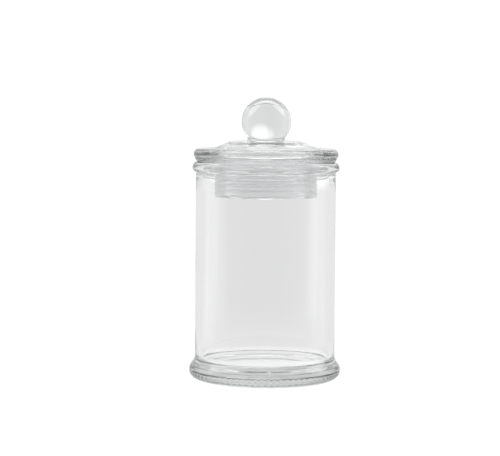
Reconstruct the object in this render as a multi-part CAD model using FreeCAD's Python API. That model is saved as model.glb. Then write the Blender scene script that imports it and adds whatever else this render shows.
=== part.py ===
"""Lidded glass specimen jar: pressed jar body, ball-knob lid and the soft sealing ring on the lid's plug.

Units are millimetres. The frame's origin is the centre of the bearing ring that the jar stands on,
+Z is up along the axis of revolution, and every piece is where it sits with the jar closed.
Every piece is turned from a half profile that lies in the XZ plane.
"""

import FreeCAD, Part
import math
import os

from FreeCAD import Vector

# ---- driving dimensions: jar --------------------------------------------------------------------
BODY_R = 29.7            # outside of the straight wall
WALL = 2.7
FOOT_R = 32.25           # widest point of the flared foot
FOOT_WIDEST_Z = 4.4
FOOT_SHOULDER_ARC = 4.7  # convex arc above the widest point
FOOT_SWEEP_ARC = 6.0     # concave arc that leads from the foot into the wall
BEARING_OUTER_R = 25.8   # flat ring that the jar stands on
BEARING_INNER_R = 22.5
PUNT_RISE = 0.8          # push-up of the underside, at its centre
FLOOR_Z = 8.7            # inside floor
FLOOR_CORNER = 0.5       # fillet between inside floor and wall
RIM_Z = 92.9             # top of the mouth
RIM_FLAT_R = 29.0        # outer end of the mouth's flat top
BEAD_R = 31.2            # widest point of the bead round the mouth
BEAD_Z = 90.75
BEAD_FOOT_Z = 88.6       # where the bead meets the wall
MOUTH_ROUND = 0.7        # rounding between the bore and the mouth's flat top

# Knurl: shallow upright notches round the heel
KNURL_COUNT = 76
KNURL_DEPTH = 0.15
KNURL_LOW_Z = 1.2
KNURL_TOP_Z = 4.3
KNURL_SHARE = 0.5        # share of each pitch that is notch
KNURL_MARGIN = 1.0       # how far the cutters reach past the foot's widest point
KNURL_RUN_OUT = 0.3      # a notch's cutter starts and ends this share of its depth off the glass

# ---- driving dimensions: sealing ring -----------------------------------------------------------
TURN_GAP = 0.08          # radial play between the lid's plug and the sleeve
FLANGE_THICK = 1.6       # flange between the lid and the mouth's flat top
FLANGE_TOP_R = 30.2
FLANGE_UNDER_R = 29.3
SLEEVE_THICK = 1.2
SLEEVE_FOOT_Z = 78.2
SLEEVE_FOOT_ROUND = 0.35
SLEEVE_CHAMFER = 0.7     # clears the fillet at the root of the plug
LIP_COUNT = 2            # wide lips, which seal in the bore just below the mouth
LIP_FIRST_Z = 89.3       # root of the lower lip
LIP_PITCH = 2.1
LIP_TIP_GAP = 0.3        # play between a lip's tip and the bore
LIP_LEAN = 0.7           # a lip's tip stands this much above its root
LIP_ROOT_THICK = 0.9
LIP_TIP_THICK = 0.5
RIB_COUNT = 4            # low rounded ribs on the sleeve below the lips
RIB_FIRST_Z = 79.6
RIB_PITCH = 2.6
RIB_HIGH = 0.35
RIB_WIDE = 1.5

# ---- driving dimensions: lid --------------------------------------------------------------------
KNOB_R = 10.5
KNOB_Z = 109.75          # centre of the ball
NECK_ARC = 1.0           # concave arc between ball and dome
DOME_Z = 101.6           # level of the flat round the neck
DOME_EDGE_R = 15.4       # where the flat turns into the slope
SLOPE_R = 18.6           # a point half way down the slope
SLOPE_Z = 100.1
VALLEY_R = 24.3          # lowest ring of the top, between dome and rim
VALLEY_Z = 98.25
CREST_R = 27.9           # highest ring of the rim
CREST_Z = 98.6
LID_R = 30.75
LID_WIDEST_Z = 96.4
LID_SHOULDER_R = 29.95   # a point of the rounded shoulder between crest and side
LID_SHOULDER_Z = 97.9
LID_EDGE_ROUND = 1.2
PLUG_R = 20.3
PLUG_FOOT_Z = 78.4
PLUG_FOOT_ROUND = 0.8
PLUG_ROOT_FILLET = 0.5
CAVITY_FOOT_R = 17.2     # the plug is hollow, and its hollow narrows upwards
CAVITY_TOP_R = 16.7
CAVITY_Z = 96.6          # ceiling of the hollow, at its edge
CAVITY_CORNER = 1.2
CAVITY_DOME_R = 60.0     # the ceiling is part of a sphere of this radius

# ---- worked-out dimensions ----------------------------------------------------------------------
BORE_R = BODY_R - WALL
LID_SEAT_Z = RIM_Z + FLANGE_THICK
SLEEVE_IN_R = PLUG_R + TURN_GAP
SLEEVE_OUT_R = SLEEVE_IN_R + SLEEVE_THICK
LIP_R = BORE_R - LIP_TIP_GAP

PARTS_FOLDER = "parts"
ORIGIN = Vector(0, 0, 0)
AXIS = Vector(0, 0, 1)


# ---- helpers ------------------------------------------------------------------------------------
def at(radius, z):
    """A point of a half profile."""
    return Vector(radius, 0, z)


def line(start, end):
    return Part.LineSegment(start, end).toShape()


def arc_through(start, middle, end):
    return Part.Arc(start, middle, end).toShape()


def arc_about(centre, radius, from_degrees, to_degrees):
    """Circular arc; 0 degrees points away from the axis and 90 degrees points up."""
    def point(degrees):
        angle = math.radians(degrees)
        return centre + Vector(radius * math.cos(angle), 0, radius * math.sin(angle))

    return arc_through(point(from_degrees), point((from_degrees + to_degrees) / 2), point(to_degrees))


def bow(start, end, rise):
    """Arc whose middle stands rise to the left of the straight line from start to end."""
    along = end - start
    left = Vector(-along.z, 0, along.x).normalize()
    return arc_through(start, (start + end) * 0.5 + left * rise, end)


def spline(points, start_slope, end_slope):
    """Smooth curve through points, leaving and arriving along the given (radius, z) directions."""
    curve = Part.BSplineCurve()
    curve.interpolate(points, InitialTangent=at(*start_slope), FinalTangent=at(*end_slope))
    return curve.toShape()


def start_of(edge):
    return edge.valueAt(edge.FirstParameter)


def end_of(edge):
    return edge.valueAt(edge.LastParameter)


def chain(*steps):
    """Joins edges end to end. A point, or a gap before an edge, stands for a straight line."""
    edges = []
    here = None
    for step in steps:
        is_point = isinstance(step, Vector)
        target = step if is_point else start_of(step)
        if here is not None and (target - here).Length > 1e-7:
            edges.append(line(here, target))
        if not is_point:
            edges.append(step)
        here = step if is_point else end_of(step)
    return edges


def lathe(edges):
    """Closes the half profile and turns it about the Z axis."""
    if (end_of(edges[-1]) - start_of(edges[0])).Length > 1e-7:
        edges = edges + [line(end_of(edges[-1]), start_of(edges[0]))]
    solid = Part.Face(Part.Wire(edges)).revolve(ORIGIN, AXIS, 360)
    if solid.Volume < 0:
        solid.reverse()
    return solid


def angle_to(start, end):
    """Direction from start to end, in degrees."""
    return math.degrees(math.atan2(end.z - start.z, end.x - start.x))


# ---- jar ----------------------------------------------------------------------------------------
def heel_point(turn, depth=0.0):
    """A point of the heel, a quarter ellipse from the bearing ring to the foot's widest point.

    turn runs from 0 at the bearing ring to 90 degrees; depth is how far the point is sunk into the glass.
    """
    angle = math.radians(turn)
    width = FOOT_R - BEARING_OUTER_R
    outward = Vector(FOOT_WIDEST_Z * math.sin(angle), 0, -width * math.cos(angle)).normalize()
    surface = at(BEARING_OUTER_R + width * math.sin(angle), FOOT_WIDEST_Z * (1 - math.cos(angle)))
    return surface - outward * depth


def heel_turn(z):
    """The turn, in degrees, at which the heel has reached the height z."""
    return math.degrees(math.acos(1 - z / FOOT_WIDEST_Z))


def heel_edge(steps=8):
    """The heel, from the foot's widest point down to the bearing ring."""
    points = [heel_point(90 - 90 * i / steps) for i in range(steps + 1)]
    return spline(points, (0, -1), (-1, 0))


def foot_edges():
    """From the straight wall through a concave and a convex arc, which are tangent, to the heel."""
    shoulder = at(FOOT_R - FOOT_SHOULDER_ARC, FOOT_WIDEST_Z)
    sweep_r = BODY_R + FOOT_SWEEP_ARC
    reach = FOOT_SHOULDER_ARC + FOOT_SWEEP_ARC
    sweep = at(sweep_r, shoulder.z + math.sqrt(reach ** 2 - (sweep_r - shoulder.x) ** 2))
    meet = angle_to(shoulder, sweep)
    return [
        arc_about(sweep, FOOT_SWEEP_ARC, 180, 180 + meet),
        arc_about(shoulder, FOOT_SHOULDER_ARC, meet, 0),
        heel_edge(),
    ]


def underside_edge():
    """Shallow push-up, from the bearing ring to the axis."""
    sphere_r = (BEARING_INNER_R ** 2 + PUNT_RISE ** 2) / (2 * PUNT_RISE)
    half_r = BEARING_INNER_R / 2
    middle = at(half_r, PUNT_RISE - sphere_r + math.sqrt(sphere_r ** 2 - half_r ** 2))
    return arc_through(at(BEARING_INNER_R, 0), middle, at(0, PUNT_RISE))


def glass_jar():
    """Jar with a flared heavy foot, a straight wall and a bead round the mouth."""
    floor_corner = at(BORE_R - FLOOR_CORNER, FLOOR_Z + FLOOR_CORNER)
    mouth_corner = at(BORE_R + MOUTH_ROUND, RIM_Z - MOUTH_ROUND)
    edges = chain(
        bow(at(RIM_FLAT_R, RIM_Z), at(BEAD_R, BEAD_Z), 0.58),
        bow(at(BEAD_R, BEAD_Z), at(BODY_R, BEAD_FOOT_Z), 0.5),
        *foot_edges(),
        at(BEARING_INNER_R, 0),
        underside_edge(),
        at(0, FLOOR_Z),
        arc_about(floor_corner, FLOOR_CORNER, -90, 0),
        arc_about(mouth_corner, MOUTH_ROUND, 180, 90),
    )
    return lathe(edges).cut(knurl_notches()).Solids[0]


def knurl_notches(steps=8):
    """Cutters for the notches: a sliver along the heel, turned through part of each pitch."""
    low_turn, top_turn = heel_turn(KNURL_LOW_Z), heel_turn(KNURL_TOP_Z)
    bottom = []
    for i in range(steps + 1):
        share = i / steps
        depth = KNURL_DEPTH * ((1 + KNURL_RUN_OUT) * math.sin(math.pi * share) - KNURL_RUN_OUT)
        bottom.append(heel_point(low_turn + (top_turn - low_turn) * share, depth))
    outside_r = FOOT_R + KNURL_MARGIN
    curve = Part.BSplineCurve()
    curve.interpolate(bottom)
    edges = chain(curve.toShape(), at(outside_r, bottom[-1].z), at(outside_r, bottom[0].z), bottom[0])
    pitch = 360 / KNURL_COUNT
    cutter = Part.Face(Part.Wire(edges)).revolve(ORIGIN, AXIS, pitch * KNURL_SHARE)
    cutters = []
    for i in range(KNURL_COUNT):
        notch = cutter.copy()
        notch.rotate(ORIGIN, AXIS, i * pitch)
        cutters.append(notch)
    return Part.makeCompound(cutters)


# ---- sealing ring -------------------------------------------------------------------------------
def lip_outline(root_z):
    """One wide lip, from above its root round its tip to below its root."""
    tip_z = root_z + LIP_LEAN
    return [
        at(SLEEVE_OUT_R, root_z + LIP_ROOT_THICK / 2),
        at(LIP_R, tip_z + LIP_TIP_THICK / 2),
        at(LIP_R, tip_z - LIP_TIP_THICK / 2),
        at(SLEEVE_OUT_R, root_z - LIP_ROOT_THICK / 2),
    ]


def rib_outline(middle_z):
    """One low rounded rib, from its upper to its lower end."""
    upper = at(SLEEVE_OUT_R, middle_z + RIB_WIDE / 2)
    lower = at(SLEEVE_OUT_R, middle_z - RIB_WIDE / 2)
    return bow(upper, lower, RIB_HIGH)


def sealing_ring():
    """Soft moulding: a flange between lid and mouth, and a lipped and ribbed sleeve on the plug."""
    foot_corner = at(SLEEVE_OUT_R - SLEEVE_FOOT_ROUND, SLEEVE_FOOT_Z + SLEEVE_FOOT_ROUND)
    steps = [
        at(SLEEVE_IN_R + SLEEVE_CHAMFER, LID_SEAT_Z),
        at(FLANGE_TOP_R, LID_SEAT_Z),
        at(FLANGE_UNDER_R, RIM_Z),
        at(SLEEVE_OUT_R, RIM_Z),
    ]
    for i in reversed(range(LIP_COUNT)):
        steps += lip_outline(LIP_FIRST_Z + i * LIP_PITCH)
    for i in reversed(range(RIB_COUNT)):
        steps.append(rib_outline(RIB_FIRST_Z + i * RIB_PITCH))
    steps += [
        arc_about(foot_corner, SLEEVE_FOOT_ROUND, 0, -90),
        at(SLEEVE_IN_R, SLEEVE_FOOT_Z),
        at(SLEEVE_IN_R, LID_SEAT_Z - SLEEVE_CHAMFER),
    ]
    return lathe(chain(*steps))


# ---- lid ----------------------------------------------------------------------------------------
def lid_top():
    """From the top of the ball over neck, dome, valley and rim to the lid's flat seat."""
    ball = at(0, KNOB_Z)
    neck_z = DOME_Z + NECK_ARC
    neck = at(math.sqrt((KNOB_R + NECK_ARC) ** 2 - (KNOB_Z - neck_z) ** 2), neck_z)
    ball_end = angle_to(ball, neck)
    low_corner = at(LID_R - LID_EDGE_ROUND, LID_SEAT_Z + LID_EDGE_ROUND)
    return chain(
        arc_about(ball, KNOB_R, 90, ball_end),
        arc_about(neck, NECK_ARC, 180 + ball_end, 270),
        spline(
            [
                at(DOME_EDGE_R, DOME_Z),
                at(SLOPE_R, SLOPE_Z),
                at(VALLEY_R, VALLEY_Z),
                at(CREST_R, CREST_Z),
            ],
            (1, -0.15),
            (1, 0),
        ),
        arc_through(at(CREST_R, CREST_Z), at(LID_SHOULDER_R, LID_SHOULDER_Z), at(LID_R, LID_WIDEST_Z)),
        arc_about(low_corner, LID_EDGE_ROUND, 0, -90),
    )


def plug_edges():
    """From the flat seat, down the outside of the plug and up its hollow, to the axis."""
    fillet = at(PLUG_R + PLUG_ROOT_FILLET, LID_SEAT_Z - PLUG_ROOT_FILLET)
    outer_foot = at(PLUG_R - PLUG_FOOT_ROUND, PLUG_FOOT_Z + PLUG_FOOT_ROUND)
    inner_foot = at(CAVITY_FOOT_R + PLUG_FOOT_ROUND, PLUG_FOOT_Z + PLUG_FOOT_ROUND)
    corner = at(CAVITY_TOP_R - CAVITY_CORNER, CAVITY_Z - CAVITY_CORNER)
    reach = CAVITY_DOME_R - CAVITY_CORNER
    ceiling = at(0, corner.z - math.sqrt(reach ** 2 - corner.x ** 2))
    meet = angle_to(ceiling, corner)
    return [
        arc_about(fillet, PLUG_ROOT_FILLET, 90, 180),
        arc_about(outer_foot, PLUG_FOOT_ROUND, 0, -90),
        arc_about(inner_foot, PLUG_FOOT_ROUND, -90, -180),
        arc_about(corner, CAVITY_CORNER, 0, meet),
        arc_about(ceiling, CAVITY_DOME_R, meet, 90),
    ]


def glass_lid():
    """Lid moulded in one piece with its ball knob and its hollow plug."""
    return lathe(chain(*lid_top(), *plug_edges()))


# ---- build --------------------------------------------------------------------------------------
def main():
    os.makedirs(PARTS_FOLDER, exist_ok=True)
    nodes = {
        "glass_jar": glass_jar(),
        "sealing_ring": sealing_ring(),
        "glass_lid": glass_lid(),
    }
    for name, shape in nodes.items():
        box = shape.BoundBox
        print(
            f"{name}: valid {shape.isValid()}, {shape.ShapeType}, solids {len(shape.Solids)}, "
            f"volume {shape.Volume / 1000:.2f} cm3, z {box.ZMin:.2f} to {box.ZMax:.2f}"
        )
        shape.exportStep(os.path.join(PARTS_FOLDER, name + ".step"))


main()
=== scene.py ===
"""Looks of the lidded glass specimen jar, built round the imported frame.

The frame is in metres, with +Z up along the jar's axis. Profiles are drawn in millimetres, as
(radius, height) points, and turned into meshes. The jar's front, which faces the camera, is -Y.
"""

import math

import bpy
import numpy as np
from mathutils import Euler, Matrix, Vector


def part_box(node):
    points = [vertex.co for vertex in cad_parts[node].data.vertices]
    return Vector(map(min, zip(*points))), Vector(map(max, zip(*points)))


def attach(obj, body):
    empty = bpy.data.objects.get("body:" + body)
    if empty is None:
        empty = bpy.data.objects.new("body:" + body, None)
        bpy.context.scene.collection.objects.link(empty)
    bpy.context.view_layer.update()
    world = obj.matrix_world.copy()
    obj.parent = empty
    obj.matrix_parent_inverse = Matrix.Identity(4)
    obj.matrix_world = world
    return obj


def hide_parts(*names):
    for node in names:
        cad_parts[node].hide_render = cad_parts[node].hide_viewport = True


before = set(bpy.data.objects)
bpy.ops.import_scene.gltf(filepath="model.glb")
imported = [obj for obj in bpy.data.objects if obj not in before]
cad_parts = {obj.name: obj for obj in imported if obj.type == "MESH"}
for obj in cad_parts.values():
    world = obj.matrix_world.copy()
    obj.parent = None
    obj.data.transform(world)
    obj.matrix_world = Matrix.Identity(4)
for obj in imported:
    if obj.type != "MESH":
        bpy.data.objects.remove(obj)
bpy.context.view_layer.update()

MM = 0.001
SAME_POINT = 0.001           # profile points closer than this, in millimetres, are one
ON_AXIS = 1e-6               # and those with a smaller radius than this are on the axis

# ---- sizes read from the frame, in millimetres --------------------------------------------------
jar_low, jar_high = (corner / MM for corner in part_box("glass_jar"))
lid_low, lid_high = (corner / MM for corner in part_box("glass_lid"))
ring_low, ring_high = (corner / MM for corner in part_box("sealing_ring"))

RIM_Z = jar_high.z
FOOT_R = jar_high.x
KNOB_TOP_Z = lid_high.z
LID_R = lid_high.x
PLUG_FOOT_Z = lid_low.z
SEAT_Z = ring_high.z         # the lid rests on the ring's flange at this height
RING_R = ring_high.x
RING_FOOT_Z = ring_low.z

# ---- jar ----------------------------------------------------------------------------------------
BODY_R = 29.7
WALL = 2.7
FOOT_WIDEST_Z = 4.4
FOOT_SHOULDER_ARC = 4.7
FOOT_SWEEP_ARC = 6.0
BEARING_OUTER_R = 25.8
BEARING_INNER_R = 22.5
PUNT_RISE = 0.8
FLOOR_Z = 8.7
FLOOR_CORNER = 0.5
RIM_FLAT_R = 29.0
BEAD_R = 31.2
BEAD_Z = 90.75
BEAD_FOOT_Z = 88.6
BEAD_UPPER_BOW = 0.58        # how far the bead's two arcs bulge from their chords
BEAD_LOWER_BOW = 0.5
CREASE_OUT = 0.12            # the crease under the bead is eased: the bead starts this far out
CREASE_UP = 0.02             # and up from it, and the wall ends this far below it
CREASE_DOWN = 0.25
MOUTH_ROUND = 0.7
KNURL_COUNT = 76
KNURL_STEPS = 8              # mesh steps round each notch
KNURL_DEPTH = 0.15
KNURL_LOW_Z = 1.2
KNURL_TOP_Z = 4.3
KNURL_FADE = 0.6             # a notch reaches its full depth over this height

# ---- lid ----------------------------------------------------------------------------------------
KNOB_R = 10.5
NECK_ARC = 1.0
DOME_Z = 101.6
DOME_EDGE_R = 15.4
SLOPE = (18.6, 100.1)
VALLEY = (24.3, 98.25)
CREST = (27.9, 98.6)
LID_SHOULDER = (29.95, 97.9)
LID_WIDEST_Z = 96.4
LID_EDGE_ROUND = 1.2
DOME_SLOPE = -0.15           # height over radius, where the dome's flat top turns downwards
PLUG_R = 20.3
PLUG_FOOT_ROUND = 0.8
PLUG_ROOT_FILLET = 0.5
CAVITY_FOOT_R = 17.2
CAVITY_TOP_R = 16.7
CAVITY_Z = 96.6
CAVITY_CORNER = 1.2
CAVITY_DOME_R = 60.0

# ---- sealing ring -------------------------------------------------------------------------------
GLASS_GAP = 0.04             # air left between the ring's flange and the glass above and below it
SLEEVE_IN_R = PLUG_R + 0.08
SLEEVE_OUT_R = SLEEVE_IN_R + 1.2
SLEEVE_CHAMFER = 0.7
FLANGE_UNDER_R = 29.3
LIP_R = BODY_R - WALL - 0.3
LIP_ROOTS_Z = (91.4, 89.3)
LIP_LEAN = 0.7
LIP_ROOT_THICK = 0.9
LIP_TIP_THICK = 0.5
RIB_FIRST_Z = 79.6
RIB_PITCH = 2.6
RIB_COUNT = 4
RIB_HIGH = 0.35
RIB_WIDE = 1.5
EDGE_ROUND = 0.18
SLEEVE_FOOT_ROUND = 0.36
OUTLINE_START = 4.0          # the outline starts and ends on the sleeve's inner wall, at these
OUTLINE_END = 8.0            # heights over its foot

# ---- meshes -------------------------------------------------------------------------------------
LID_STEPS = 560              # mesh steps round the axis
RING_STEPS = 320
SEAM_STEPS = 25              # extra steps across each of the jar's seams
EASE = 0.5                   # straight stretches stop this far short of the arcs they run into
DOME_EASE = 0.4
FLOOR_EASE = 1.5
BORE_FOOT_EASE = 1.0
BORE_TOP_EASE = 0.8

# ---- glass surface effects ----------------------------------------------------------------------
SEAM_HIGH = 0.07             # mould seam, a fine raised line down the front and the back
SEAM_HALF_WIDTH = 0.32
STRONG_SEAM = 5.0            # the seam stands this many times higher on the foot's shoulder,
STRONG_SEAM_FADE = (24, 30)  # which it reaches between these degrees up the shoulder's arc
SEAM_WINDOW = 0.03           # half the angle, in radians, that a seam can take up
SEAM_FOOT_FADE = 1.0         # the jar's seam fades out below this height
SEAM_TOP_FADE = (0.6, 0.3)   # and from this far above the bead's middle to this far below the rim
JAR_SEAM_TURN = 3.4          # degrees from the front, towards +X
LID_SEAM_TURN = -0.5
RIPPLE_OUTSIDE = 0.008       # height of the moulded glass's unevenness
RIPPLE_INSIDE = 0.03
RIPPLE_ROUND = (1, 2, 2, 3, 4, 5, 6, 8, 9, 11)  # waves round the axis
RIPPLE_ALONG = 0.22          # most radians of a wave per millimetre along the profile
RIPPLE_FALL_OFF = 0.7        # how fast the shorter waves get lower
JAR_SEED = 11
LID_SEED = 5
RELIEF_R = 8.0               # relief fades out towards the axis inside this radius

# ---- materials ----------------------------------------------------------------------------------
NOISE_LOW = 0.3
NOISE_HIGH = 0.7
GLASS_IOR = 1.52
GLASS_ROUGHNESS = (0.0, 0.012)
GLASS_DULL_SCALE = 45        # noise scales are in waves per metre
GLASS_TINT = (0.81, 0.826, 0.822)
GLASS_ABSORPTION = 32        # per metre
JAR_WAVES = (60, 0.00003)    # scale of the surface's waves, and their depth in metres
LID_WAVES = (90, 0.00002)
PLASTIC_COLOUR = (0.9, 0.905, 0.91)
PLASTIC_IOR = 1.41
PLASTIC_ROUGHNESS = (0.12, 0.18)
PLASTIC_PATCH_SCALE = 500
PLASTIC_SKIN_SCALE = 900
PLASTIC_SKIN_STRENGTH = 0.15
PLASTIC_SKIN_DEPTH = 0.00003

# ---- camera -------------------------------------------------------------------------------------
CAMERA_DISTANCE = 0.884
CAMERA_PITCH = math.radians(4.06)
CAMERA_ROLL = math.radians(0.4)
CAMERA_LENS = 149.9
CAMERA_NEAR = 0.05
CAMERA_FAR = 20
AIM = Vector((-0.0066, 0, 0.0647))


# ---- profile geometry ---------------------------------------------------------------------------
def arc(centre, radius, start, end, count):
    """Points of a circular arc from start to end degrees; 0 points outwards and 90 up."""
    angles = np.radians(np.linspace(start, end, count))
    return np.stack([centre[0] + radius * np.cos(angles), centre[1] + radius * np.sin(angles)], 1)


def arc_through(start, middle, end, count):
    """Points of the circular arc from start over middle to end."""
    (ax, ay), (bx, by), (cx, cy) = start, middle, end
    d = 2 * (ax * (by - cy) + bx * (cy - ay) + cx * (ay - by))
    a2, b2, c2 = ax * ax + ay * ay, bx * bx + by * by, cx * cx + cy * cy
    centre = np.array([
        (a2 * (by - cy) + b2 * (cy - ay) + c2 * (ay - by)) / d,
        (a2 * (cx - bx) + b2 * (ax - cx) + c2 * (bx - ax)) / d,
    ])
    first, mid, last = (math.atan2(p[1] - centre[1], p[0] - centre[0]) for p in (start, middle, end))
    turn = (last - first) % (2 * math.pi)
    if (mid - first) % (2 * math.pi) > turn:
        turn -= 2 * math.pi
    radius = math.dist(start, centre)
    return arc(centre, radius, math.degrees(first), math.degrees(first + turn), count)


def bow(start, end, rise, count):
    """Arc whose middle stands rise to the left of the straight line from start to end."""
    start, end = np.array(start, float), np.array(end, float)
    along = end - start
    left = np.array([-along[1], along[0]]) / np.linalg.norm(along)
    return arc_through(start, (start + end) / 2 + left * rise, end, count)


def straight(start, end, count=2):
    return np.linspace(start, end, count)


def flowing(points, start_slope, end_slope, count):
    """Smooth curve through points, with given slopes (height over radius) at both ends."""
    points = np.array(points, float)
    steps = np.diff(points, axis=0)
    slopes = steps[:, 1] / steps[:, 0]
    inner = (slopes[1:] * steps[:-1, 0] + slopes[:-1] * steps[1:, 0]) / (steps[1:, 0] + steps[:-1, 0])
    at_points = np.concatenate([[start_slope], inner, [end_slope]])
    radii = np.linspace(points[0, 0], points[-1, 0], count)
    span = np.clip(np.searchsorted(points[:, 0], radii) - 1, 0, len(steps) - 1)
    width = steps[span, 0]
    t = (radii - points[span, 0]) / width
    heights = (
        (2 * t ** 3 - 3 * t ** 2 + 1) * points[span, 1]
        + (t ** 3 - 2 * t ** 2 + t) * width * at_points[span]
        + (3 * t ** 2 - 2 * t ** 3) * points[span + 1, 1]
        + (t ** 3 - t ** 2) * width * at_points[span + 1]
    )
    return np.stack([radii, heights], 1)


def rounded(corners, radius, count=4):
    """Open polyline with every inner corner rounded, from radius before it to radius after it."""
    corners = [np.array(c, float) for c in corners]
    out = [corners[0]]
    for before, corner, after in zip(corners, corners[1:], corners[2:]):
        reach = min(radius, np.linalg.norm(before - corner) / 2, np.linalg.norm(after - corner) / 2)
        enter = corner + (before - corner) / np.linalg.norm(before - corner) * reach
        leave = corner + (after - corner) / np.linalg.norm(after - corner) * reach
        for t in np.linspace(0, 1, count):
            out.append((1 - t) ** 2 * enter + 2 * t * (1 - t) * corner + t * t * leave)
    out.append(corners[-1])
    return np.array(out)


def smooth_step(value, low, high):
    t = np.clip((value - low) / (high - low), 0, 1)
    return t * t * (3 - 2 * t)


# ---- turning profiles into meshes ---------------------------------------------------------------
def join(stretches):
    """One array of (radius, height, ripple, seam) rows from stretches of (points, ripple, seam)."""
    rows = []
    for points, ripple, seam in stretches:
        for radius, height in points:
            if rows and math.dist(rows[-1][:2], (radius, height)) < SAME_POINT:
                continue
            rows.append((radius, height, ripple, seam))
    return np.array(rows)


def outward_normals(profile):
    """Unit normals of a profile whose material lies to the left of its direction."""
    ahead = np.roll(profile[:, :2], -1, axis=0)
    behind = np.roll(profile[:, :2], 1, axis=0)
    if profile[0, 0] < ON_AXIS:
        behind[0] = profile[0, :2]
        ahead[-1] = profile[-1, :2]
    along = ahead - behind
    along /= np.linalg.norm(along, axis=1)[:, None]
    return np.stack([along[:, 1], -along[:, 0]], 1)


def ripple_field(profile, turns, seed):
    """Gentle seeded unevenness, from -1 to 1, over the profile and round the axis."""
    rng = np.random.default_rng(seed)
    step = np.linalg.norm(np.diff(profile[:, :2], axis=0), axis=1)
    travel = np.concatenate([[0], np.cumsum(step)])[:, None]
    field = np.zeros((len(profile), len(turns)))
    for waves_round in RIPPLE_ROUND:
        waves_along = rng.uniform(-RIPPLE_ALONG, RIPPLE_ALONG)
        phase = rng.uniform(0, 2 * math.pi)
        wave = np.sin(waves_round * turns[None, :] + waves_along * travel + phase)
        field += wave / waves_round ** RIPPLE_FALL_OFF
    return field / np.abs(field).max()


def seam_field(profile, turns, seam_turn):
    """Height of the mould seam, 0 to 1: two fine lines, one at the front and one at the back."""
    front = math.radians(seam_turn - 90)
    field = np.zeros((len(profile), len(turns)))
    for place in (front, front + math.pi):
        away = (turns - place + math.pi) % (2 * math.pi) - math.pi
        field += np.exp(-(away[None, :] * profile[:, :1] / SEAM_HALF_WIDTH) ** 2)
    return field


def knurl_field(profile, turns):
    """Depth of the heel's notches, 0 to 1."""
    height = profile[:, 1]
    outside = profile[:, 0] > BEARING_OUTER_R
    low = smooth_step(height, KNURL_LOW_Z, KNURL_LOW_Z + KNURL_FADE)
    top = 1 - smooth_step(height, KNURL_TOP_Z - KNURL_FADE, KNURL_TOP_Z)
    return (outside * low * top)[:, None] * (0.5 - 0.5 * np.cos(KNURL_COUNT * turns))[None, :]


def near_axis(profile):
    """Fades the relief out towards the axis, where turned rings meet in a point."""
    return smooth_step(profile[:, :1], 0, RELIEF_R)


def turned(name, profile, relief, turns, closed):
    """Mesh of a profile turned about Z. relief is each point's shift along its outward normal."""
    normals = outward_normals(profile)
    radius = (profile[:, :1] + normals[:, :1] * relief) * MM
    height = (profile[:, 1:2] + normals[:, 1:] * relief) * MM
    count = len(turns)
    verts, ring_start = [], []
    for i in range(len(profile)):
        ring_start.append(len(verts))
        if profile[i, 0] < ON_AXIS:
            verts.append((0, 0, float(height[i].mean())))
            continue
        verts.extend(zip(radius[i] * np.cos(turns), radius[i] * np.sin(turns), height[i]))
    faces = []
    last = len(profile) if closed else len(profile) - 1
    for i in range(last):
        after = (i + 1) % len(profile)
        here, there = ring_start[i], ring_start[after]
        here_point, there_point = profile[i, 0] < ON_AXIS, profile[after, 0] < ON_AXIS
        for j in range(count):
            k = (j + 1) % count
            if here_point:
                faces.append((here, there + k, there + j))
            elif there_point:
                faces.append((here + j, here + k, there))
            else:
                faces.append((here + j, here + k, there + k, there + j))
    mesh = bpy.data.meshes.new(name)
    mesh.from_pydata([tuple(map(float, v)) for v in verts], [], faces)
    mesh.shade_smooth()
    piece = bpy.data.objects.new(name, mesh)
    bpy.context.scene.collection.objects.link(piece)
    return piece


def around(segments):
    return np.arange(segments) * 2 * math.pi / segments


def closer_at_seams(turns, seam_turn):
    """Adds finer steps near the front and back mould seams."""
    for turn in (seam_turn - 90, seam_turn + 90):
        place = math.radians(turn) % (2 * math.pi)
        turns = turns[np.abs(turns - place) > SEAM_WINDOW]
        fine = np.linspace(-SEAM_WINDOW, SEAM_WINDOW, SEAM_STEPS)
        turns = np.concatenate([turns, place + fine])
    return np.sort(turns)


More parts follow.
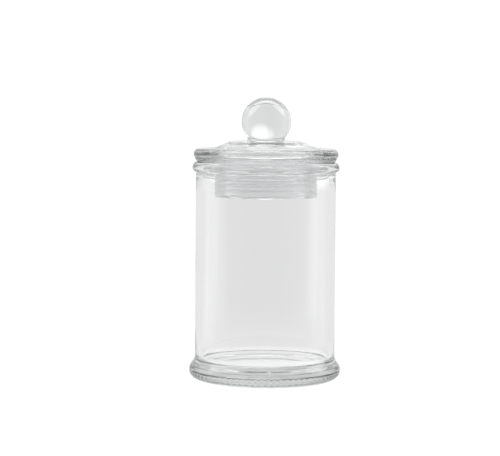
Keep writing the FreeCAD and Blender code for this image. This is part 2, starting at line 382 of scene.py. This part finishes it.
# ---- jar ----------------------------------------------------------------------------------------
def jar_profile():
    """From the middle of the underside out to the foot, up to the rim and down the bore."""
    bore_r = BODY_R - WALL
    foot_r = FOOT_R - SEAM_HIGH
    sphere_r = (BEARING_INNER_R ** 2 + PUNT_RISE ** 2) / (2 * PUNT_RISE)
    punt_r = np.linspace(0, BEARING_INNER_R - EASE, 8)
    punt = np.stack([punt_r, PUNT_RISE - sphere_r + np.sqrt(sphere_r ** 2 - punt_r ** 2)], 1)
    ring_start = (BEARING_INNER_R + 2 * EASE, 0)
    bearing = rounded([punt[-1], (BEARING_INNER_R, 0), ring_start], EASE)
    turn = np.linspace(0, math.pi / 2, 25)
    heel = np.stack([
        BEARING_OUTER_R + (foot_r - BEARING_OUTER_R) * np.sin(turn),
        FOOT_WIDEST_Z * (1 - np.cos(turn)),
    ], 1)
    shoulder = (foot_r - FOOT_SHOULDER_ARC, FOOT_WIDEST_Z)
    sweep_r = BODY_R + FOOT_SWEEP_ARC
    reach = FOOT_SHOULDER_ARC + FOOT_SWEEP_ARC
    sweep = (sweep_r, FOOT_WIDEST_Z + math.sqrt(reach ** 2 - (sweep_r - shoulder[0]) ** 2))
    meet = math.degrees(math.atan2(sweep[1] - shoulder[1], sweep[0] - shoulder[0]))
    plain_end, strong_start = STRONG_SEAM_FADE
    bead_r = BEAD_R - SEAM_HIGH
    rim_corner = (bore_r + MOUTH_ROUND, RIM_Z - MOUTH_ROUND)
    floor_corner = (bore_r - FLOOR_CORNER, FLOOR_Z + FLOOR_CORNER)
    wall_top = (BODY_R, BEAD_FOOT_Z - CREASE_DOWN)
    bead_foot = (BODY_R + CREASE_OUT, BEAD_FOOT_Z + CREASE_UP)
    bore_top = (bore_r, rim_corner[1] - BORE_TOP_EASE)
    bore_foot = (bore_r, floor_corner[1] + BORE_FOOT_EASE)
    return join([
        (punt, RIPPLE_INSIDE, 0),
        (bearing, 0, 0),
        (straight(ring_start, (BEARING_OUTER_R, 0), 3), 0, 0),
        (heel, 0, 1),
        (arc(shoulder, FOOT_SHOULDER_ARC, 0, plain_end, 4), 0, 1),
        (arc(shoulder, FOOT_SHOULDER_ARC, strong_start, meet, 8), 0, STRONG_SEAM),
        (arc(sweep, FOOT_SWEEP_ARC, 180 + meet, 180, 9), RIPPLE_OUTSIDE, 1),
        (straight((BODY_R, sweep[1]), wall_top, 10), RIPPLE_OUTSIDE, 0.5),
        (bow(bead_foot, (bead_r, BEAD_Z), -BEAD_LOWER_BOW, 10), 0, 1),
        (bow((bead_r, BEAD_Z), (RIM_FLAT_R, RIM_Z), -BEAD_UPPER_BOW, 9), 0, 1),
        (arc(rim_corner, MOUTH_ROUND, 90, 180, 6), 0, 0),
        (straight(bore_top, bore_foot, 16), RIPPLE_INSIDE, 0),
        (arc(floor_corner, FLOOR_CORNER, 0, -90, 9), RIPPLE_INSIDE, 0),
        (straight((floor_corner[0] - FLOOR_EASE, FLOOR_Z), (0, FLOOR_Z), 6), RIPPLE_INSIDE, 0),
    ])


def seam_ends(profile):
    """Fades the jar's seam out at the bearing ring and at the rim, where other things rest."""
    height = profile[:, 1:2]
    above, below = SEAM_TOP_FADE
    top = 1 - smooth_step(height, BEAD_Z + above, RIM_Z - below)
    return smooth_step(height, 0, SEAM_FOOT_FADE) * top


def make_jar():
    profile = jar_profile()
    turns = closer_at_seams(around(KNURL_COUNT * KNURL_STEPS), JAR_SEAM_TURN)
    ripple, seam = profile[:, 2:3], profile[:, 3:4]
    relief = (
        (ripple_field(profile, turns, JAR_SEED) - 1) * ripple * near_axis(profile)
        + seam_field(profile, turns, JAR_SEAM_TURN) * seam * seam_ends(profile) * SEAM_HIGH
        - knurl_field(profile, turns) * KNURL_DEPTH
    )
    return turned("jar_body", profile, relief, turns, closed=False)


# ---- lid ----------------------------------------------------------------------------------------
def lid_profile():
    """From the hollow's ceiling down the hollow, round the plug, out to the rim and over the top."""
    corner = (CAVITY_TOP_R - CAVITY_CORNER, CAVITY_Z - CAVITY_CORNER)
    reach = CAVITY_DOME_R - CAVITY_CORNER
    ceiling = (0, corner[1] - math.sqrt(reach ** 2 - corner[0] ** 2))
    meet = math.degrees(math.atan2(corner[1] - ceiling[1], corner[0]))
    inner_foot = (CAVITY_FOOT_R + PLUG_FOOT_ROUND, PLUG_FOOT_Z + PLUG_FOOT_ROUND)
    outer_foot = (PLUG_R - PLUG_FOOT_ROUND, PLUG_FOOT_Z + PLUG_FOOT_ROUND)
    root = (PLUG_R + PLUG_ROOT_FILLET, SEAT_Z - PLUG_ROOT_FILLET)
    rim_low = (LID_R - LID_EDGE_ROUND, SEAT_Z + LID_EDGE_ROUND)
    knob = (0, KNOB_TOP_Z - KNOB_R)
    neck_z = DOME_Z + NECK_ARC
    neck = (math.sqrt((KNOB_R + NECK_ARC) ** 2 - (knob[1] - neck_z) ** 2), neck_z)
    knob_end = math.degrees(math.atan2(neck[1] - knob[1], neck[0]))
    top = flowing([(DOME_EDGE_R, DOME_Z), SLOPE, VALLEY, CREST], DOME_SLOPE, 0, 30)[::-1]
    dome = straight((DOME_EDGE_R - DOME_EASE, DOME_Z), (neck[0] + EASE, DOME_Z), 5)
    hollow_top, hollow_foot = (CAVITY_TOP_R, corner[1] - EASE), (CAVITY_FOOT_R, inner_foot[1] + EASE)
    plug_low, plug_high = (PLUG_R, outer_foot[1] + EASE), (PLUG_R, root[1] - EASE)
    seat_in, seat_out = (root[0] + EASE, SEAT_Z), (rim_low[0] - EASE, SEAT_Z)
    return join([
        (arc(ceiling, CAVITY_DOME_R, 90, meet, 8), RIPPLE_OUTSIDE, 0),
        (arc(corner, CAVITY_CORNER, meet, 0, 8), RIPPLE_OUTSIDE, 0),
        (straight(hollow_top, hollow_foot, 9), RIPPLE_OUTSIDE, 0),
        (arc(inner_foot, PLUG_FOOT_ROUND, 180, 270, 7), 0, 0),
        (arc(outer_foot, PLUG_FOOT_ROUND, 270, 360, 7), 0, 0),
        (straight(plug_low, plug_high, 8), 0, 0),
        (arc(root, PLUG_ROOT_FILLET, 180, 90, 6), 0, 0),
        (straight(seat_in, seat_out, 8), RIPPLE_OUTSIDE, 0),
        (arc(rim_low, LID_EDGE_ROUND, -90, 0, 7), 0, 1),
        (arc_through((LID_R, LID_WIDEST_Z), LID_SHOULDER, CREST, 12), 0, 1),
        (top, RIPPLE_OUTSIDE, 0.4),
        (dome, RIPPLE_OUTSIDE, 0),
        (arc(neck, NECK_ARC, 270, 180 + knob_end, 10), 0, 0.3),
        (arc(knob, KNOB_R, knob_end, 90, 40), 0, 0.7),
    ])


def make_lid():
    profile = lid_profile()
    turns = around(LID_STEPS)
    ripple, seam = profile[:, 2:3], profile[:, 3:4]
    relief = (
        (ripple_field(profile, turns, LID_SEED) - 1) * ripple * near_axis(profile)
        + (seam_field(profile, turns, LID_SEAM_TURN) - 1) * seam * SEAM_HIGH * near_axis(profile)
    )
    return turned("lid_with_knob", profile, relief, turns, closed=False)


# ---- sealing ring -------------------------------------------------------------------------------
def ring_profile():
    """Closed outline: down the sleeve's inside, up its outside over ribs and lips, round the flange."""
    under_z, top_z = RIM_Z + GLASS_GAP, SEAT_Z - GLASS_GAP
    corners = [
        (SLEEVE_IN_R, RING_FOOT_Z + OUTLINE_START),
        (SLEEVE_IN_R, RING_FOOT_Z),
        (SLEEVE_OUT_R, RING_FOOT_Z),
    ]
    outline = [rounded(corners, SLEEVE_FOOT_ROUND)]
    for i in range(RIB_COUNT):
        middle = RIB_FIRST_Z + i * RIB_PITCH
        low, high = (SLEEVE_OUT_R, middle - RIB_WIDE / 2), (SLEEVE_OUT_R, middle + RIB_WIDE / 2)
        outline.append(bow(low, high, -RIB_HIGH, 9))
    corners = [outline[-1][-1]]
    for root_z in reversed(LIP_ROOTS_Z):
        tip_z = root_z + LIP_LEAN
        corners += [
            (SLEEVE_OUT_R, root_z - LIP_ROOT_THICK / 2),
            (LIP_R, tip_z - LIP_TIP_THICK / 2),
            (LIP_R, tip_z + LIP_TIP_THICK / 2),
            (SLEEVE_OUT_R, root_z + LIP_ROOT_THICK / 2),
        ]
    corners += [
        (SLEEVE_OUT_R, under_z),
        (FLANGE_UNDER_R, under_z),
        (RING_R, top_z),
        (SLEEVE_IN_R + SLEEVE_CHAMFER, top_z),
        (SLEEVE_IN_R, top_z - SLEEVE_CHAMFER),
        (SLEEVE_IN_R, RING_FOOT_Z + OUTLINE_END),
    ]
    outline.append(rounded(corners, EDGE_ROUND))
    return join([(points, 0, 0) for points in outline])


def make_ring():
    profile = ring_profile()
    turns = around(RING_STEPS)
    relief = np.zeros((len(profile), len(turns)))
    return turned("soft_ring", profile, relief, turns, closed=True)


# ---- making materials ---------------------------------------------------------------------------
def new_material(name):
    material = bpy.data.materials.new(name)
    material.use_nodes = True
    tree = material.node_tree
    return material, tree, tree.nodes["Principled BSDF"], tree.nodes["Material Output"]


def noise(tree, scale, detail=3.0):
    """Noise in the piece's own coordinates; scale is in waves per metre."""
    place = tree.nodes.new("ShaderNodeTexCoord")
    texture = tree.nodes.new("ShaderNodeTexNoise")
    texture.inputs["Scale"].default_value = scale
    texture.inputs["Detail"].default_value = detail
    tree.links.new(place.outputs["Object"], texture.inputs["Vector"])
    return texture.outputs["Fac"]


def spread(tree, source, low, high):
    """Maps a noise, whose tones lie mostly between NOISE_LOW and NOISE_HIGH, onto low to high."""
    reach = tree.nodes.new("ShaderNodeMapRange")
    reach.inputs["From Min"].default_value = NOISE_LOW
    reach.inputs["From Max"].default_value = NOISE_HIGH
    reach.inputs["To Min"].default_value = low
    reach.inputs["To Max"].default_value = high
    tree.links.new(source, reach.inputs["Value"])
    return reach.outputs["Result"]


def bump(tree, shader, source, strength, depth):
    node = tree.nodes.new("ShaderNodeBump")
    node.inputs["Strength"].default_value = strength
    node.inputs["Distance"].default_value = depth
    tree.links.new(source, node.inputs["Height"])
    tree.links.new(node.outputs["Normal"], shader.inputs["Normal"])


def absorb(tree, output, colour, density):
    volume = tree.nodes.new("ShaderNodeVolumeAbsorption")
    volume.inputs["Color"].default_value = (*colour, 1)
    volume.inputs["Density"].default_value = density
    tree.links.new(volume.outputs["Volume"], output.inputs["Volume"])


def clear_glass(name, wave_scale, wave_depth):
    """Soda-lime glass: clear, faintly tinted through its thickness, with a slow surface waviness."""
    material, tree, shader, output = new_material(name)
    shader.inputs["Base Color"].default_value = (1, 1, 1, 1)
    shader.inputs["Transmission Weight"].default_value = 1
    shader.inputs["IOR"].default_value = GLASS_IOR
    dull = spread(tree, noise(tree, GLASS_DULL_SCALE), *GLASS_ROUGHNESS)
    tree.links.new(dull, shader.inputs["Roughness"])
    bump(tree, shader, noise(tree, wave_scale, detail=2), 1.0, wave_depth)
    absorb(tree, output, GLASS_TINT, GLASS_ABSORPTION)
    return material


def soft_plastic():
    """Translucent polyethylene with a satin moulded skin."""
    material, tree, shader, output = new_material("soft_plastic")
    shader.inputs["Base Color"].default_value = (*PLASTIC_COLOUR, 1)
    shader.inputs["Transmission Weight"].default_value = 1
    shader.inputs["IOR"].default_value = PLASTIC_IOR
    satin = spread(tree, noise(tree, PLASTIC_PATCH_SCALE), *PLASTIC_ROUGHNESS)
    tree.links.new(satin, shader.inputs["Roughness"])
    bump(tree, shader, noise(tree, PLASTIC_SKIN_SCALE), PLASTIC_SKIN_STRENGTH, PLASTIC_SKIN_DEPTH)
    return material


def dress(piece, material, body, node):
    piece.data.materials.append(material)
    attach(piece, body)
    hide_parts(node)


# ---- studio -------------------------------------------------------------------------------------
# Grey tones of the room, as (cosine of the angle to a direction, tone) pairs. BEHIND is for +Y,
# OVERHEAD for +Z, and GLOW for its own direction.
BEHIND_STOPS = [(-1, 0.40), (-0.5, 0.50), (0.1, 0.80), (0.6, 0.84), (0.9, 0.83), (1, 0.82)]
OVERHEAD_STOPS = [(-1, 1), (0.45, 1), (0.8, 0.4), (1, 0.3)]
GLOW = ((0.16, 0.92, 0.42), [(0.90, 0), (0.99, 0.36), (1, 0.4)])
# Softboxes at the sides: direction, stops and brightness. Their directions are compared in a room
# whose heights are multiplied by SOFTBOX_TALL, which makes each of them taller than wide.
SOFTBOXES = (
    ((-0.974, 0.225, 0.05), [(0.94, 0), (0.985, 1), (1, 1)], 0.45),
    ((0.991, 0.134, 0.05), [(0.93, 0), (0.985, 1), (1, 1)], 0.3),
    ((-0.97, 0.05, 0.55), [(0.90, 0), (0.97, 1), (1, 1)], 2.6),
    ((0.93, 0.2, 0.55), [(0.90, 0), (0.97, 1), (1, 1)], 2.6),
)
SOFTBOX_TALL = 0.45
# Painted light on the glowing floor close to the jar, a brighter pool round its foot, as (distance from
# the axis in metres, tone) pairs.
FLOOR_PAINTED_LIGHT_STOPS = [(0, 0.93), (0.03, 0.94), (0.06, 0.96), (0.09, 0.85), (0.2, 0.82)]
FLOOR_NEAR = 0.06            # the floor's painted pool passes into the room's tones, also painted on it, between these distances
FLOOR_FAR = 0.3
FLOOR_HALF = 3.0             # half the floor's side, in metres
FLOOR_DROP = 0.0003          # keeps the floor just below the bearing ring
EYE_WHITE = 1.05             # brightness of floor and room where they are seen directly
TOP_LIGHT_PLACE = (0.0, 0.25, 0.9)
TOP_LIGHT_SIZE = (0.7, 0.7)
TOP_LIGHT_POWER = 6          # watts


def ramp(tree, source, stops, low=-1, high=1):
    """Grey tones over the range low to high of source; stops are (place, tone) pairs."""
    shift = tree.nodes.new("ShaderNodeMapRange")
    shift.inputs["From Min"].default_value = low
    shift.inputs["From Max"].default_value = high
    tree.links.new(source, shift.inputs["Value"])
    node = tree.nodes.new("ShaderNodeValToRGB")
    node.color_ramp.interpolation = "EASE"
    elements = node.color_ramp.elements
    while len(elements) < len(stops):
        elements.new(0.5)
    for element, (place, tone) in zip(elements, stops):
        element.position = (place - low) / (high - low)
        element.color = (tone, tone, tone, 1)
    tree.links.new(shift.outputs["Result"], node.inputs["Fac"])
    return node.outputs["Color"]


def vector_math(tree, operation, source, value=None, result="Vector"):
    node = tree.nodes.new("ShaderNodeVectorMath")
    node.operation = operation
    tree.links.new(source, node.inputs[0])
    if value is not None:
        node.inputs[1].default_value = value
    return node.outputs[result]


def along(tree, unit, direction):
    """Cosine of the angle between a unit vector socket and a direction."""
    return vector_math(tree, "DOT_PRODUCT", unit, Vector(direction).normalized(), "Value")


def combine(tree, blend, first, second, factor=None):
    mix = tree.nodes.new("ShaderNodeMix")
    mix.data_type = "RGBA"
    mix.blend_type = blend
    mix.inputs["Factor"].default_value = 1
    if factor is not None:
        tree.links.new(factor, mix.inputs["Factor"])
    tree.links.new(first, mix.inputs["A"])
    tree.links.new(second, mix.inputs["B"])
    return mix.outputs["Result"]


def room_tone(tree, unit):
    """Tone of the room by direction: a grey backdrop, lit sides, a glow above the backdrop."""
    tone = combine(
        tree,
        "MULTIPLY",
        ramp(tree, along(tree, unit, (0, 1, 0)), BEHIND_STOPS),
        ramp(tree, along(tree, unit, (0, 0, 1)), OVERHEAD_STOPS),
    )
    direction, stops = GLOW
    tone = combine(tree, "ADD", tone, ramp(tree, along(tree, unit, direction), stops))
    flat = vector_math(tree, "NORMALIZE", vector_math(tree, "MULTIPLY", unit, (1, 1, SOFTBOX_TALL)))
    for direction, stops, brightness in SOFTBOXES:
        light = ramp(tree, along(tree, flat, direction), stops)
        light = vector_math(tree, "MULTIPLY", light, (brightness, brightness, brightness))
        tone = combine(tree, "ADD", tone, light)
    return tone


def white_to_the_eye(tree, output, kind, shown):
    """Overexposed white where it is seen directly, and the given shader in glass and reflections."""
    path = tree.nodes.new("ShaderNodeLightPath")
    white = tree.nodes.new(kind)
    mix = tree.nodes.new("ShaderNodeMixShader")
    white.inputs["Color"].default_value = (1, 1, 1, 1)
    white.inputs["Strength"].default_value = EYE_WHITE
    tree.links.new(path.outputs["Is Camera Ray"], mix.inputs["Fac"])
    tree.links.new(shown, mix.inputs[1])
    tree.links.new(white.outputs[0], mix.inputs[2])
    tree.links.new(mix.outputs["Shader"], output.inputs["Surface"])


def make_floor():
    mesh = bpy.data.meshes.new("studio_floor")
    level = jar_low.z * MM - FLOOR_DROP
    sides = ((-1, -1), (1, -1), (1, 1), (-1, 1))
    corners = [(x * FLOOR_HALF, y * FLOOR_HALF, level) for x, y in sides]
    mesh.from_pydata(corners, [], [(0, 1, 2, 3)])
    floor = bpy.data.objects.new("studio_floor", mesh)
    bpy.context.scene.collection.objects.link(floor)
    material, tree, shader, output = new_material("pale_floor")
    tree.nodes.remove(shader)
    place = tree.nodes.new("ShaderNodeTexCoord")
    unit = vector_math(tree, "NORMALIZE", place.outputs["Object"])
    distance = vector_math(tree, "LENGTH", place.outputs["Object"], result="Value")
    far = tree.nodes.new("ShaderNodeMapRange")
    far.interpolation_type = "SMOOTHSTEP"
    far.inputs["From Min"].default_value = FLOOR_NEAR
    far.inputs["From Max"].default_value = FLOOR_FAR
    tree.links.new(distance, far.inputs["Value"])
    # The floor is no lamp, yet it glows with painted light where glass and reflections see it: a pool
    # of light round the jar, and the room's light further out.
    tone = combine(
        tree,
        "MIX",
        ramp(tree, distance, FLOOR_PAINTED_LIGHT_STOPS, 0, FLOOR_PAINTED_LIGHT_STOPS[-1][0]),
        room_tone(tree, unit),
        far.outputs["Result"],
    )
    glow = tree.nodes.new("ShaderNodeEmission")
    tree.links.new(tone, glow.inputs["Color"])
    white_to_the_eye(tree, output, "ShaderNodeEmission", glow.outputs["Emission"])
    mesh.materials.append(material)


def make_world():
    world = bpy.data.worlds.new("studio")
    bpy.context.scene.world = world
    world.use_nodes = True
    tree = world.node_tree
    tree.nodes.clear()
    output = tree.nodes.new("ShaderNodeOutputWorld")
    place = tree.nodes.new("ShaderNodeTexCoord")
    room = tree.nodes.new("ShaderNodeBackground")
    tree.links.new(room_tone(tree, place.outputs["Generated"]), room.inputs["Color"])
    white_to_the_eye(tree, output, "ShaderNodeBackground", room.outputs["Background"])


def softbox(name, place, size, power):
    """Rectangular soft light that faces the jar's axis, level; size is (width, height)."""
    light = bpy.data.lights.new(name, "AREA")
    light.shape = "RECTANGLE"
    light.size, light.size_y = size
    light.energy = power
    lamp = bpy.data.objects.new(name, light)
    lamp.location = place
    inwards = Vector((0, 0, place[2])) - Vector(place)
    lamp.rotation_euler = inwards.to_track_quat("-Z", "Y").to_euler()
    lamp.visible_camera = False
    bpy.context.scene.collection.objects.link(lamp)


def make_camera():
    camera = bpy.data.objects.new("camera", bpy.data.cameras.new("camera"))
    camera.data.lens = CAMERA_LENS
    camera.data.clip_start = CAMERA_NEAR
    camera.data.clip_end = CAMERA_FAR
    back = Vector((0, -math.cos(CAMERA_PITCH), math.sin(CAMERA_PITCH)))
    turn = Euler((math.pi / 2 - CAMERA_PITCH, 0, 0)).to_matrix() @ Matrix.Rotation(CAMERA_ROLL, 3, "Z")
    camera.matrix_world = Matrix.Translation(AIM + back * CAMERA_DISTANCE) @ turn.to_4x4()
    bpy.context.scene.collection.objects.link(camera)
    bpy.context.scene.camera = camera


def set_render_options():
    scene = bpy.context.scene
    scene.view_settings.view_transform = "Standard"
    scene.cycles.max_bounces = 40
    scene.cycles.transmission_bounces = 40
    scene.cycles.glossy_bounces = 20
    scene.cycles.diffuse_bounces = 6
    scene.cycles.sample_clamp_indirect = 6
    scene.cycles.blur_glossy = 0.2


make_camera()
dress(make_jar(), clear_glass("jar_glass", *JAR_WAVES), "jar", "glass_jar")
dress(make_lid(), clear_glass("lid_glass", *LID_WAVES), "lid", "glass_lid")
dress(make_ring(), soft_plastic(), "seal", "sealing_ring")
make_floor()
make_world()
softbox("top_light", TOP_LIGHT_PLACE, TOP_LIGHT_SIZE, TOP_LIGHT_POWER)
set_render_options()
